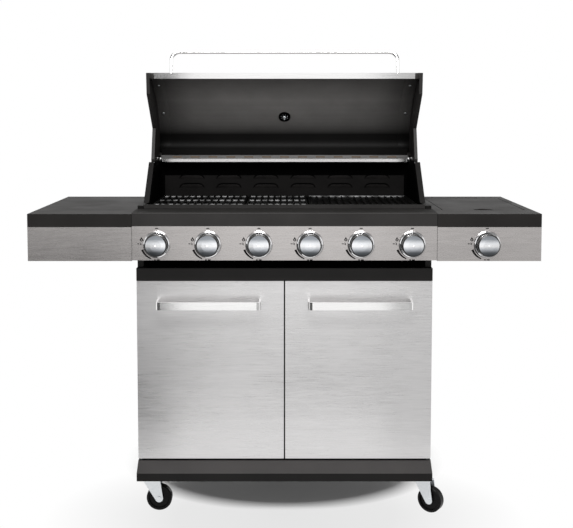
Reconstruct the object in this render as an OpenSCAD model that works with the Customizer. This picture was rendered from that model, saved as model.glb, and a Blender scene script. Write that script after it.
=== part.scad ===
// Free-standing gas barbecue grill with six main burners, one side burner,
// a two-door cabinet and a roll-top hood.
// x runs to the right, y runs backwards and z runs up from the floor. Inside
// the modules y is a depth behind the front plane of the control panel; place()
// moves it to the middle of the overall depth. The hood is drawn closed and
// opened() turns it to its rest position.

/* [Overall] */
// Overall width across both side tables
table_span = 1438; // [1400:1:1480]
// Height of the side table tops above the floor
table_z = 891.5; // [885:0.5:900]
// Depth of the side tables
table_d = 540; // [530:1:545]
// Half of the cabinet and firebox width
half_w = 427; // [426:1:430]

/* [Cabinet] */
// Depth of the door fronts behind the control panel
door_front = 76; // [70:1:80]
// Height of the bottom edge of the doors
door_bottom = 165.5; // [165:0.5:174]
// Height of the top edge of the doors
door_top = 689; // [680:1:689]
// Thickness of a folded door
door_t = 20; // [18:1:21]
// Underside of the bottom shelf
shelf_bottom = 111; // [109:1:118]
// Upper surface of the bottom shelf
shelf_top = 160; // [158:1:164]
// Rear edge of the cabinet
cabinet_rear = 530; // [520:1:535]

/* [Controls] */
// Spacing between neighbouring burner knobs
knob_pitch = 143; // [142:0.5:144]
// Height of the knob axes
knob_z = 806; // [804:1:808]
// Diameter of a knob
knob_d = 63; // [60:1:65]
// Distance from the control panel to the face of a knob
knob_reach = 34; // [32:1:36]
// How far a knob pushes in before it turns
knob_push = 4; // [3:0.5:5]
// Position of the side burner knob
side_knob_x = 567; // [560:1:575]

/* [Hood] */
// Angle between the closed and the open hood
hood_angle = 82; // [78:1:82]
// Depth of the hood hinge axis
hinge_d = 457; // [455:1:459]
// Height of the hood hinge axis
hinge_z = 1019; // [1018:1:1021]
// Radius of the front curve of the hood
hood_front_r = 348; // [345:1:350]
// Radius of the upper curve of the hood
hood_upper_r = 205; // [200:1:210]
// Radius of the rear corner of the hood
hood_corner_r = 42; // [40:1:44]

/* [Casters] */
// Diameter of a caster wheel
wheel_d = 75; // [70:1:77]
// Distance of the swivel axes from the centre plane
caster_x = 403; // [395:1:404]
// Horizontal offset of a wheel axle from its swivel axis
caster_trail = 33; // [30:1:34]

/* [Hidden] */
$fn = 48;

// Colours
black_paint = "#2b2a2a";
dark_paint = "#3a3838";
stainless = "#c4c2bf";
bright_steel = "#dedede";
cast_black = "#1c1c1d";
brass_tone = "#b9a05a";

// Sheet and clearance values
sheet = 1.5;
thick_sheet = 2;
running_gap = 0.05;

// Side tables
table_half = table_span / 2;
table_edge = 37;
table_inner = half_w + 1;
panel_bottom = 759;
table_under = table_z - table_edge;

// Control panel and fascia
panel_top = 857;
panel_low = 761;
fascia_top = 896;
lip_d = 101;
lip_top = 908;

// Firebox
tub_half = 407;
tub_front = 150;
tub_rear = 533;
tub_low = 768;
wall_top = 1018;
side_inner = 409;
side_outer = 425;
grate_top = 897;
grate_h = 13;
grate_front = 168;
grate_rear = 518;
cross_w = 8;
grate_cross = [244, 377, grate_rear - cross_w];
tamer_z = 836;

// Hood profile, closed: the skin starts at the lip and turns through three arcs
lip = [163, 900];
lip_heading = 75;
front_turn = 45;
upper_turn = 25;
corner_turn = 95;
hood_skin_half = 400;
hood_back_foot = 1026;
pin_r = 5;

// Hood handle
handle_r = 6;
handle_half = 351;
handle_bend = 27;
handle_bar = [104.9, 958.4];
handle_leg = 72.8;
handle_tilt = 18;

// Doors
door_gap = 4;
door_outer = half_w - 0.5;
door_pin_x = 419;
door_pin_d = 90;
door_pin_r = 3;
door_handle_w = 300;
door_handle_h = 22;
door_handle_reach = 56;
door_handle_x = 217;
door_handle_z = 615;

// Side burner
lid_x = [457, 698];
lid_d = [108, 492];
lid_gap = 2.5;
lid_hinge_d = 484;
lid_hinge_z = 886.2;
lid_pin_r = 2.5;
seat_depth = 9.5;
seat_boss = 13;
burner_centre = [577.5, 300];

// Grease tray
tray_low = 733;
tray_h = 22;

// Casters
wheel_r = wheel_d / 2;
wheel_w = 24;
axle_r = 4;
caster_depths = [112, 468];
fork_gap = 13.6;

burner_count = 6;
burner_x = [for (i = [0 : burner_count - 1]) (i - (burner_count - 1) / 2) * knob_pitch];
knob_x = concat(burner_x, [side_knob_x]);

// ---- Geometry helpers -------------------------------------------------

// Points of an arc that turns clockwise from a heading
function turn_arc(start, heading, r, turn, steps) = [
    for (i = [0 : steps])
        let (a = heading - turn * i / steps)
            start + r * [sin(heading) - sin(a), cos(a) - cos(heading)]
];
function last(points) = points[len(points) - 1];
function reversed(points) = [for (i = [len(points) - 1 : -1 : 0]) points[i]];

// Hood outline from the lip to the top of the rear wall, inset by t
function hood_line(t) =
    let (
        a = turn_arc(lip + t * [sin(lip_heading), -cos(lip_heading)], lip_heading, hood_front_r - t, front_turn, 12),
        b = turn_arc(last(a), lip_heading - front_turn, hood_upper_r - t, upper_turn, 6),
        c = turn_arc(last(b), lip_heading - front_turn - upper_turn, hood_corner_r - t, corner_turn, 14)
    )
    concat(a, [for (i = [1 : len(b) - 1]) b[i]], [for (i = [1 : len(c) - 1]) c[i]]);
hood_back_d = last(hood_line(0))[0];

// Thermometer seat: where the front curve meets the upper curve
thermo_at = last(turn_arc(lip, lip_heading, hood_front_r, front_turn, 1));
thermo_tilt = lip_heading - front_turn;
thermo_stem_r = 2.5;

// Depth that a point of the closed hood reaches when the hood is open
function opened_depth(p) =
    hinge_d + (p[0] - hinge_d) * cos(hood_angle) + (p[1] - hinge_z) * sin(hood_angle);
rear_most = max([for (p = hood_line(0)) opened_depth(p)]);
origin_depth = (rear_most - knob_reach) / 2;

module place() {
    translate([0, -origin_depth, 0])
        children();
}

module both_sides() {
    children();
    mirror([1, 0, 0])
        children();
}

module opened() {
    translate([0, hinge_d, hinge_z])
        rotate([-hood_angle, 0, 0])
            translate([0, -hinge_d, -hinge_z])
                children();
}

module at_thermometer() {
    translate([0, thermo_at[0], thermo_at[1]])
        rotate([thermo_tilt, 0, 0])
            children();
}

// Prism whose outline is drawn as depth and height
module along_x(x0, x1) {
    translate([x0, 0, 0])
        rotate([90, 0, 90])
            linear_extrude(height = x1 - x0)
                children();
}

// Prism whose outline is drawn as x and height
module along_depth(d0, d1) {
    translate([0, d1, 0])
        rotate([90, 0, 0])
            linear_extrude(height = d1 - d0)
                children();
}

// Block between two corners
module block(low, high) {
    translate(low)
        cube(high - low);
}

// Rectangle with true round corners
module rounded(low, high, r) {
    translate(low + [r, 0])
        square([high[0] - low[0] - 2 * r, high[1] - low[1]]);
    translate(low + [0, r])
        square([high[0] - low[0], high[1] - low[1] - 2 * r]);
    for (x = [low[0] + r, high[0] - r])
        for (y = [low[1] + r, high[1] - r])
            translate([x, y])
                circle(r);
}

// Cylinder along the depth axis between two depths
module rod(x, z, r, d0, d1) {
    translate([x, d1, z])
        rotate([90, 0, 0])
            cylinder(r = r, h = d1 - d0);
}

// Cylinder along x between two positions
module cross_rod(d, z, r, x0, x1) {
    translate([x0, d, z])
        rotate([0, 90, 0])
            cylinder(r = r, h = x1 - x0);
}

// ---- Cabinet ----------------------------------------------------------

plinth_front = 39;
plinth_bevel = 134;

module bottom_shelf() {
    flange = 100;
    outline = [
        [plinth_front, shelf_bottom], [plinth_front, plinth_bevel], [door_front, shelf_top],
        [cabinet_rear, shelf_top], [cabinet_rear, shelf_bottom]
    ];
    hollow = [
        [plinth_front + thick_sheet, shelf_bottom + thick_sheet],
        [plinth_front + thick_sheet, plinth_bevel - 1],
        [door_front, shelf_top - thick_sheet - 0.5],
        [cabinet_rear - thick_sheet, shelf_top - thick_sheet],
        [cabinet_rear - thick_sheet, shelf_bottom + thick_sheet]
    ];
    color(black_paint)
        place()
            difference() {
                along_x(-half_w, half_w)
                    polygon(outline);
                along_x(-half_w + thick_sheet, half_w - thick_sheet)
                    polygon(hollow);
                block([-half_w + 60, caster_depths[0] + flange / 2 + 10, shelf_bottom - 1],
                      [half_w - 60, caster_depths[1] - flange / 2 - 10, shelf_bottom + 10]);
            }
}

side_front = 103;
cabinet_top = tub_low;

module cabinet_side() {
    flange = 18;
    runner_in = 386;
    block([runner_in, side_front + 20, tray_low - 2], [half_w - 1, cabinet_rear - 20, tray_low]);
    difference() {
        block([half_w - flange, side_front, shelf_top], [half_w, cabinet_rear, cabinet_top]);
        block([half_w - flange - 1, side_front + sheet, shelf_top - 1],
              [half_w - sheet, cabinet_rear - sheet, cabinet_top + 1]);
    }
}

module cabinet_sides() {
    color(black_paint)
        place()
            both_sides()
                cabinet_side();
}

module cabinet_back() {
    back_top = tray_low - 8;
    slot_rows = 4;
    slot_pitch = 16;
    color(black_paint)
        place()
            difference() {
                block([-half_w + sheet, cabinet_rear - 2 * sheet, shelf_top],
                      [half_w - sheet, cabinet_rear - sheet, back_top]);
                for (row = [0 : slot_rows - 1])
                    for (x = [-260, 0, 260])
                        block([x - 70, cabinet_rear - 10, back_top - 60 - row * slot_pitch],
                              [x + 70, cabinet_rear + 10, back_top - 54 - row * slot_pitch]);
            }
}

rail_low = 690;
rail_top = 726;

module front_rail() {
    color(dark_paint)
        place() {
            difference() {
                block([-half_w, door_front, rail_low], [half_w, side_front, rail_top]);
                block([-half_w + thick_sheet, door_front + thick_sheet, rail_low + thick_sheet],
                      [half_w - thick_sheet, side_front + 1, rail_top - thick_sheet]);
                both_sides()
                    translate([door_pin_x, door_pin_d, rail_low - 1])
                        cylinder(r = door_pin_r, h = thick_sheet + 2);
            }
            // Baffle that closes the gap below the firebox
            block([-side_inner, side_front - sheet, rail_top], [side_inner, side_front, tub_low]);
            // Magnetic catches behind the free edges of the doors
            both_sides()
                block([20, door_front + door_t + 1, rail_low - 14], [64, side_front, rail_low]);
        }
}

module door_pins() {
    engage = 8;
    color(bright_steel)
        place()
            both_sides() {
                translate([door_pin_x, door_pin_d, shelf_top])
                    cylinder(r = door_pin_r, h = door_bottom - shelf_top + engage);
                translate([door_pin_x, door_pin_d, door_top - engage])
                    cylinder(r = door_pin_r, h = rail_low - door_top + engage + thick_sheet);
            }
}

// ---- Doors ------------------------------------------------------------

// Right-hand door: a folded stainless pan with returned flanges and two hinge bushes
module door() {
    inner = door_gap / 2;
    flange = 14;
    bush_h = 10;
    bush_r = 6;
    back = door_front + door_t;
    place()
        difference() {
            union() {
                difference() {
                    block([inner, door_front, door_bottom], [door_outer, back, door_top]);
                    block([inner + sheet, door_front + sheet, door_bottom + sheet],
                          [door_outer - sheet, back - sheet, door_top - sheet]);
                    block([inner + flange, back - 2 * sheet, door_bottom + flange],
                          [door_outer - flange, back + 1, door_top - flange]);
                }
                for (z = [door_bottom, door_top - bush_h])
                    translate([door_pin_x, door_pin_d, z])
                        cylinder(r = bush_r - 0.5, h = bush_h);
            }
            for (z = [door_bottom - 1, door_top - bush_h - 1])
                translate([door_pin_x, door_pin_d, z])
                    cylinder(r = door_pin_r + running_gap, h = bush_h + 2);
        }
}

module door_right() {
    color(stainless)
        door();
}

module door_left() {
    color(stainless)
        mirror([1, 0, 0])
            door();
}

// Flat bar bent into a shallow U
module door_handle(x) {
    bar_t = 6;
    bend = 14;
    low = [x - door_handle_w / 2, door_front - door_handle_reach];
    high = [x + door_handle_w / 2, door_front + 40];
    color(bright_steel)
        place()
            translate([0, 0, door_handle_z])
                linear_extrude(height = door_handle_h)
                    intersection() {
                        difference() {
                            rounded(low, high, bend);
                            rounded(low + [bar_t, bar_t], high - [bar_t, bar_t], bend - bar_t);
                        }
                        translate([low[0], low[1]])
                            square([door_handle_w, door_handle_reach]);
                    }
}

// ---- Casters ----------------------------------------------------------

plate_t = 3;
race_h = 13;
fork_top = shelf_bottom - plate_t - race_h;
kingpin_r = 5;

// Position and heading of each caster: the wheel trails towards the heading
function caster_pos(side, row) = [side * caster_x, caster_depths[row]];
trail_front_left = 0;
trail_front_right = -33;
trail_rear_left = 20;
trail_rear_right = 160;

module caster_plates() {
    plate = [44, 76];
    bolt = [15, 30];
    bolt_r = 5.5;
    race_r = 17.5;
    color(bright_steel)
        place()
            for (side = [-1, 1])
                for (row = [0, 1])
                    translate(concat(caster_pos(side, row), [shelf_bottom])) {
                        translate([-plate[0] / 2, -plate[1] / 2, -plate_t])
                            cube(concat(plate, [plate_t]));
                        translate([0, 0, -plate_t - race_h + 1])
                            cylinder(r = race_r, h = race_h - 1);
                        translate([0, 0, -plate_t - race_h - 6])
                            cylinder(r = kingpin_r, h = race_h);
                        for (x = [-bolt[0], bolt[0]])
                            for (y = [-bolt[1], bolt[1]])
                                translate([x, y, -plate_t - 3])
                                    cylinder(r = bolt_r, h = 3);
                    }
}

// Fork of one caster with its axle; x points along the trail
module caster_fork(side, row, heading) {
    leg_t = 2.5;
    crown_r = 20;
    crown_rear = -16;
    crown_tip = caster_trail + 3;
    foot_r = 11.5;
    color(bright_steel)
        place()
            translate(concat(caster_pos(side, row), [0]))
                rotate([0, 0, heading]) {
                    difference() {
                        union() {
                            translate([0, 0, fork_top - 2.5])
                                cylinder(r = crown_r, h = 2.5);
                            translate([crown_rear, -fork_gap - leg_t, fork_top - 2.5])
                                cube([crown_tip - crown_rear, 2 * (fork_gap + leg_t), 2.5]);
                            for (s = [-1, 1])
                                translate([0, s > 0 ? fork_gap + leg_t : -fork_gap, 0])
                                    rotate([90, 0, 0])
                                        linear_extrude(height = leg_t) {
                                            polygon([
                                                [crown_rear, fork_top], [crown_tip, fork_top],
                                                [caster_trail + foot_r * 0.98, wheel_r + 2],
                                                [caster_trail - foot_r * 0.78, wheel_r - foot_r * 0.62]
                                            ]);
                                            translate([caster_trail, wheel_r])
                                                circle(foot_r);
                                        }
                        }
                        translate([caster_trail, 30, wheel_r])
                            rotate([90, 0, 0])
                                cylinder(r = axle_r, h = 60);
                        translate([0, 0, fork_top - 5])
                            cylinder(r = kingpin_r + running_gap, h = 8);
                    }
                    translate([caster_trail, fork_gap + leg_t, wheel_r])
                        rotate([90, 0, 0])
                            cylinder(r = axle_r, h = 2 * (fork_gap + leg_t));
                    for (s = [-1, 1])
                        translate([caster_trail, s > 0 ? fork_gap + leg_t + 3 : -fork_gap - leg_t, wheel_r])
                            rotate([90, 0, 0])
                                cylinder(r = 6, h = 3);
                }
}

// Wheel with a recessed web on both sides
module wheel(side, row, heading) {
    rim_in = wheel_r - 9;
    hub_r = 11;
    recess = 5;
    profile = [
        [axle_r + running_gap, -wheel_w / 2 - 0.8], [hub_r, -wheel_w / 2 - 0.8], [hub_r + 1, -wheel_w / 2 + recess],
        [rim_in, -wheel_w / 2 + recess], [rim_in + 1.5, -wheel_w / 2], [wheel_r - 2, -wheel_w / 2],
        [wheel_r, -wheel_w / 2 + 2.5], [wheel_r, wheel_w / 2 - 2.5], [wheel_r - 2, wheel_w / 2],
        [rim_in + 1.5, wheel_w / 2], [rim_in, wheel_w / 2 - recess], [hub_r + 1, wheel_w / 2 - recess],
        [hub_r, wheel_w / 2 + 0.8], [axle_r + running_gap, wheel_w / 2 + 0.8]
    ];
    color(cast_black)
        place()
            translate(concat(caster_pos(side, row), [0]))
                rotate([0, 0, heading])
                    translate([caster_trail, 0, wheel_r])
                        rotate([90, 0, 0])
                            rotate_extrude($fn = 72)
                                polygon(profile);
}

// ---- Control panel, knobs and gas train -------------------------------

module control_panel() {
    hole_r = 14;
    flange = 24;
    color(stainless)
        place()
            difference() {
                block([-half_w, 0, panel_low], [half_w, lip_d, panel_top]);
                block([-half_w + sheet, sheet, panel_low + sheet], [half_w - sheet, lip_d + 1, panel_top - sheet]);
                block([-half_w + sheet, flange, panel_low - 1], [half_w - sheet, lip_d + 1, panel_top + 1]);
                for (x = burner_x)
                    rod(x, knob_z, hole_r, -1, 5);
                cross_rod(manifold_d, manifold_z, manifold_r + 3, half_w - 5, half_w + 5);
            }
}

module control_fascia() {
    ledge = 3;
    color(black_paint)
        place() {
            along_x(-half_w, half_w)
                polygon([
                    [0, panel_top], [0, fascia_top - 3], [2, fascia_top - 1], [lip_d, fascia_top],
                    [lip_d, fascia_top - ledge], [ledge, fascia_top - ledge - 1], [ledge, panel_top]
                ]);
        }
}

module knob_bezels() {
    bezel_r = 38.5;
    bore_r = knob_d / 2 + 1.3;
    color(bright_steel)
        place()
            for (x = knob_x)
                translate([x, 0, knob_z])
                    rotate([90, 0, 0])
                        rotate_extrude($fn = 96)
                            polygon([
                                [bore_r - 8, 0], [bezel_r, 0], [bezel_r, 2], [bezel_r - 2.5, 8],
                                [bore_r + 0.7, 9], [bore_r, 8.5], [bore_r, 2], [bore_r - 8, 2]
                            ]);
}

manifold_d = 60;
manifold_r = 9;
manifold_z = knob_z - 16;
inlet_x = 470;

module gas_manifold() {
    wall = 2;
    low_x = -380;
    high_x = side_knob_x + 20;
    boss = 12;
    color(bright_steel)
        place()
            difference() {
                union() {
                    cross_rod(manifold_d, manifold_z, manifold_r, low_x, high_x);
                    block([inlet_x - boss, manifold_d - boss, manifold_z - boss],
                          [inlet_x + boss, manifold_d + boss, manifold_z + boss]);
                }
                cross_rod(manifold_d, manifold_z, manifold_r - wall, low_x + 4, high_x - 4);
            }
}

inlet_r = 6.6;
inlet_len = 14;
inlet_start = manifold_d + 20;

// Hexagon collar and threaded nipple, pointing backwards under the right table
module gas_inlet() {
    collar = 8;
    color(brass_tone)
        place() {
            translate([inlet_x, inlet_start, manifold_z])
                rotate([90, 0, 0])
                    cylinder(r = 11, h = collar, $fn = 6);
            difference() {
                rod(inlet_x, manifold_z, inlet_r, inlet_start, inlet_start + inlet_len);
                rod(inlet_x, manifold_z, 3, inlet_start + 1, inlet_start + inlet_len + 1);
            }
        }
}

stem_r = 4;
valve_front = 34;
valve_rear = 66;

// Valve bodies stand on the manifold and hold the turning stems
module gas_valves() {
    nozzle_tip = 96;
    color(brass_tone)
        place()
            for (x = knob_x)
                difference() {
                    union() {
                        rod(x, knob_z, 11, valve_front, valve_rear);
                        rod(x, knob_z, 5, valve_rear, nozzle_tip);
                    }
                    rod(x, knob_z, stem_r + running_gap, valve_front - 1, valve_front + 24);
                    cross_rod(manifold_d, manifold_z, manifold_r, x - 20, x + 20);
                }
}

// Turning stem with a flat for the knob
module valve_stem(i) {
    tip = -16;
    color(bright_steel)
        place()
            difference() {
                rod(knob_x[i], knob_z, stem_r, tip, valve_front + 22);
                block([knob_x[i] - 10, tip - 1, knob_z + 2.4], [knob_x[i] + 10, 6, knob_z + 10]);
            }
}

// Knob with a slightly domed face and a hub that slides on its stem
module knob(i) {
    r = knob_d / 2;
    back = -8;
    hub_r = 9;
    face = -knob_reach;
    color(stainless)
        place()
            translate([knob_x[i], 0, knob_z])
                rotate([90, 0, 0])
                    difference() {
                        rotate_extrude($fn = 96)
                            polygon([
                                [0, -face], [r - 16, -face - 0.3], [r - 3.5, -face - 1.4], [r - 1, -face - 3],
                                [r, -face - 6], [r, -back], [r - 2.5, -back], [r - 2.5, -face - 6],
                                [hub_r, -face - 6], [hub_r, -back], [0, -back]
                            ]);
                        translate([0, 0, -back - 1])
                            cylinder(r = stem_r + running_gap, h = 15);
                    }
}

// ---- Firebox ----------------------------------------------------------

module firebox_tub() {
    t = thick_sheet;
    trough_low = tub_low;
    corner = 786;
    trough_front = 290;
    trough_rear = 390;
    ledge_z = grate_top - grate_h;
    color(cast_black)
        place() {
            difference() {
                union() {
                    // Front and rear walls with a trough-shaped bottom
                    along_x(-tub_half, tub_half)
                        polygon([
                            [lip_d, lip_top], [lip_d + 3, lip_top], [lip_d + 4, fascia_top + 1],
                            [tub_front, fascia_top - 1], [tub_front, corner], [trough_front, trough_low],
                            [trough_rear, trough_low], [tub_rear - t, corner], [tub_rear - t, 890],
                            [tub_rear, 890], [tub_rear, corner - t], [trough_rear, trough_low - t],
                            [trough_front, trough_low - t], [tub_front - t, corner - t],
                            [tub_front - t, fascia_top - 3], [lip_d, fascia_top + 0.5]
                        ]);
                    // Side walls, with an ear around each hood pin
                    both_sides()
                        along_x(tub_half - t, tub_half) {
                            polygon([
                                [tub_front - t, corner - t], [tub_front - t, fascia_top - 1],
                                [230, fascia_top + 2], [348, wall_top], [tub_rear, wall_top],
                                [tub_rear, corner - t],
                                [trough_rear, trough_low - t], [trough_front, trough_low - t]
                            ]);
                            translate([hinge_d, hinge_z])
                                circle(13);
                        }
                    // Ledges that carry the grates and the heat tents
                    for (z = [ledge_z, tamer_z]) {
                        block([-tub_half + 1, tub_front - 1, z - t], [tub_half - 1, tub_front + 26, z]);
                        block([-tub_half + 1, grate_rear - 8, z - t], [tub_half - 1, tub_rear - 1, z]);
                    }
                }
                for (x = burner_x) {
                    rod(x, knob_z, burner_r + 1, tub_front - 5, tub_front + 3);
                    rod(x + igniter_x, knob_z + 8, igniter_r + 1, tub_front - 5, tub_front + 3);
                }
                both_sides()
                    cross_rod(hinge_d, hinge_z, pin_r + running_gap, tub_half - 5, tub_half + 5);
                // Drain slot in the trough
                block([-330, trough_front + 15, trough_low - 10], [330, trough_rear - 15, trough_low + 1]);
            }
        }
}

// Outline of a firebox side: front horn, rising step, peak and rear slope
side_outline = [
    [lip_d, tub_low], [lip_d, 905], [230, 902], [354, 1017], [446, 965], [tub_rear + 4, 965],
    [tub_rear + 4, tub_low]
];

module firebox_sides() {
    web = 4;
    color(black_paint)
        place()
            both_sides()
                difference() {
                    along_x(side_inner, side_outer)
                        polygon(side_outline);
                    // Hollow behind the outer face, open towards the tub
                    along_x(side_inner - 1, side_outer - web)
                        polygon([
                            [lip_d + 5, tub_low + 5], [lip_d + 5, 899], [228, 896], [352, 1009],
                            [440, 960], [tub_rear - 2, 960], [tub_rear - 2, tub_low + 5]
                        ]);
                }
}

louvre_pitch = 122.6;
louvre_w = 80;
louvre_rows = [922, 952];

module firebox_back() {
    panel_d = tub_rear - 6;
    panel_half = tub_half - 3;
    color(dark_paint)
        place()
            difference() {
                union() {
                    block([-panel_half, panel_d, 890], [panel_half, panel_d + thick_sheet, 964]);
                    block([-panel_half, panel_d, 962], [panel_half, tub_rear, 964]);
                    block([-panel_half, tub_rear - thick_sheet, 890], [panel_half, tub_rear, 1008]);
                    for (row = louvre_rows)
                        for (i = [-2.5 : 2.5])
                            along_x(i * louvre_pitch - louvre_w / 2, i * louvre_pitch + louvre_w / 2)
                                polygon([
                                    [panel_d, row - 5], [panel_d - 5, row + 5], [panel_d - 4, row + 6],
                                    [panel_d + 0.5, row - 2]
                                ]);
                }
                for (row = louvre_rows)
                    for (i = [-2.5 : 2.5])
                        block([i * louvre_pitch - louvre_w / 2 + 3, panel_d - 0.5, row - 1],
                              [i * louvre_pitch + louvre_w / 2 - 3, panel_d + 3, row + 6]);
            }
}

module rear_rail() {
    color(stainless)
        place()
            along_x(-tub_half + 3, tub_half - 3)
                polygon([
                    [tub_rear - 4, 1008], [tub_rear - 4, 1021], [tub_rear + 4, 1021], [tub_rear + 4, 985],
                    [tub_rear + 2, 985], [tub_rear + 2, 1019.5], [tub_rear - 2.5, 1019.5], [tub_rear - 2.5, 1008]
                ]);
}

burner_r = 15;
igniter_x = burner_r + 6;
igniter_r = 2;

// Tube burners with their igniter electrodes
module burners() {
    start = 88;
    finish = 500;
    color(stainless)
        place()
            for (x = burner_x) {
                difference() {
                    rod(x, knob_z, burner_r, start, finish);
                    rod(x, knob_z, burner_r - 1.5, start - 1, finish - 2);
                    block([x - burner_r - 1, 100, knob_z - 4], [x + burner_r + 1, 124, knob_z + 4]);
                }
                rod(x + igniter_x, knob_z + 8, igniter_r, tub_front - 20, tub_front + 60);
            }
}

// Inverted-V heat tents above the burners
module flame_tamers() {
    half = 46;
    low = tamer_z;
    high = 868;
    color(stainless)
        place()
            for (x = burner_x)
                along_depth(grate_front - 2, grate_rear - 4)
                    polygon([
                        [x - half, low], [x - 8, high], [x + 8, high], [x + half, low],
                        [x + half - 2.5, low], [x + 7, high - 1.5], [x - 7, high - 1.5], [x - half + 2.5, low]
                    ]);
}

// Cast grate: bars from front to rear on cross ribs
module grate(x0, x1) {
    bars = round((x1 - x0) / 21);
    pitch = (x1 - x0 - 8) / bars;
    low = grate_top - grate_h;
    color(cast_black)
        place()
            union() {
                for (i = [0 : bars])
                    along_depth(grate_front, grate_rear)
                        translate([x0 + i * pitch, low])
                            polygon([[0.5, 0], [7.5, 0], [8, 9], [6.5, grate_h], [1.5, grate_h], [0, 9]]);
                for (d = concat([grate_front], grate_cross))
                    block([x0 + 1, d, low + 0.2], [x1 - 1, d + cross_w, grate_top - 1]);
            }
}

module grate_left() {
    grate(-401, -120);
}

module grate_middle() {
    grate(-117, 72);
}

// Solid griddle with low ridges
module griddle_plate() {
    x0 = 75;
    x1 = 401;
    ridges = 16;
    pitch = (x1 - x0 - 20) / (ridges - 1);
    low = grate_top - grate_h;
    color(cast_black)
        place()
            union() {
                block([x0, grate_front, low], [x1, grate_rear, low + 6]);
                difference() {
                    block([x0, grate_front, low], [x1, grate_rear, grate_top]);
                    block([x0 + 6, grate_front + 6, low - 1], [x1 - 6, grate_rear - 6, grate_top + 1]);
                }
                for (i = [0 : ridges - 1])
                    along_depth(grate_front + 14, grate_rear - 14)
                        translate([x0 + 10 + i * pitch, low])
                            polygon([[-4.5, 5], [4.5, 5], [2.5, grate_h - 1], [-2.5, grate_h - 1]]);
            }
}

module grease_tray() {
    t = thick_sheet;
    half = 390;
    front = 130;
    rear = 536;
    color(stainless)
        place() {
            difference() {
                block([-half, front, tray_low], [half, rear, tray_low + tray_h]);
                block([-half + t, front + t, tray_low + t], [half - t, rear - t, tray_low + tray_h + 1]);
            }
            block([-60, rear, tray_low + 4], [60, rear + 22, tray_low + 6]);
            block([-60, rear + 20, tray_low + 4], [60, rear + 22, tray_low + 16]);
        }
}

// ---- Side tables ------------------------------------------------------

// Pressed tray with a downturned edge
module table_tray(x0, x1) {
    difference() {
        block([x0, 0, table_under], [x1, table_d, table_z]);
        block([x0 + thick_sheet, thick_sheet, table_under - 1],
              [x1 - thick_sheet, table_d - thick_sheet, table_z - thick_sheet]);
    }
}

module side_table_left() {
    color(black_paint)
        place()
            table_tray(-table_half, -table_inner);
}

module side_table_right() {
    seat = 5;
    color(black_paint)
        place()
            difference() {
                union() {
                    table_tray(table_inner, table_half);
                    block([lid_x[0] - seat, lid_d[0] - seat, table_z - seat_boss],
                          [lid_x[1] + seat, lid_d[1] + seat, table_z]);
                }
                block([lid_x[0], lid_d[0], table_z - seat_depth], [lid_x[1], lid_d[1], table_z + 1]);
                block([lid_x[0] + seat, lid_d[0] + seat, table_under - 1],
                      [lid_x[1] - seat, lid_d[1] - seat, table_z + 1]);
                cross_rod(lid_hinge_d, lid_hinge_z, lid_pin_r + running_gap, lid_x[0] - 4, lid_x[1] + 4);
            }
}

module side_panel(x0, x1, hole) {
    depth = 22;
    difference() {
        block([x0, 0, panel_bottom], [x1, depth, table_under]);
        block([x0 + sheet, sheet, panel_bottom + sheet], [x1 - sheet, depth + 1, table_under + 1]);
        if (hole)
            rod(side_knob_x, knob_z, 14, -1, 5);
    }
}

module side_panels() {
    color(stainless)
        place() {
            side_panel(-table_half, -table_inner, false);
            side_panel(table_inner, table_half, true);
        }
}

// Angle brackets that carry the tables on the firebox sides
module table_brackets() {
    arm = 30;
    color(black_paint)
        place()
            both_sides()
                for (d = [120, 470])
                    along_depth(d, d + 24)
                        polygon([
                            [side_outer, 790], [side_outer + 3, 790], [side_outer + 3, table_under - 8],
                            [side_outer + arm, table_under - 3], [side_outer + arm, table_under],
                            [side_outer, table_under]
                        ]);
}

pan_low = 818;

module side_burner() {
    t = thick_sheet;
    low = [lid_x[0] + 6, lid_d[0] + 6];
    high = [lid_x[1] - 6, lid_d[1] - 14];
    rim = table_z - seat_boss;
    flange = 8;
    feed_r = 9;
    color(cast_black)
        place() {
            difference() {
                union() {
                    block(concat(low, [pan_low]), concat(high, [rim]));
                    block(concat(low - [flange, flange], [rim - t]), concat(high + [flange, flange], [rim]));
                }
                block(concat(low + [t, t], [pan_low + t]), concat(high - [t, t], [rim + 1]));
            }
            translate(concat(burner_centre, [pan_low + t]))
                cylinder(r = 30, h = 14);
            translate(concat(burner_centre, [pan_low + t + 14]))
                cylinder(r1 = 44, r2 = 38, h = 12);
            // Feed tube under the pan
            difference() {
                rod(side_knob_x, knob_z, feed_r, 90, burner_centre[1]);
                rod(side_knob_x, knob_z, feed_r - 1.5, 89, burner_centre[1] - 2);
            }
        }
}

// Pan support over the side burner
module side_burner_grid() {
    low = pan_low + 30;
    high = low + 12;
    half = 104;
    bar = 7;
    c = burner_centre;
    color(cast_black)
        place()
            union() {
                for (y = [-half, half - bar])
                    block([c[0] - half, c[1] + y, low], [c[0] + half, c[1] + y + bar, high - 3]);
                for (x = [-half, half - bar])
                    block([c[0] + x, c[1] - half, low], [c[0] + x + bar, c[1] + half, high - 3]);
                for (a = [0, 90])
                    for (side = [0, 180])
                        translate(concat(c, [low]))
                            rotate([0, 0, a + side])
                                translate([26, -bar / 2, 0])
                                    cube([half - 27, bar, high - low]);
                for (x = [-half, half - bar])
                    for (y = [-half, half - bar])
                        block([c[0] + x, c[1] + y, pan_low + thick_sheet], [c[0] + x + bar, c[1] + y + bar, high - 3]);
            }
}

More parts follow.
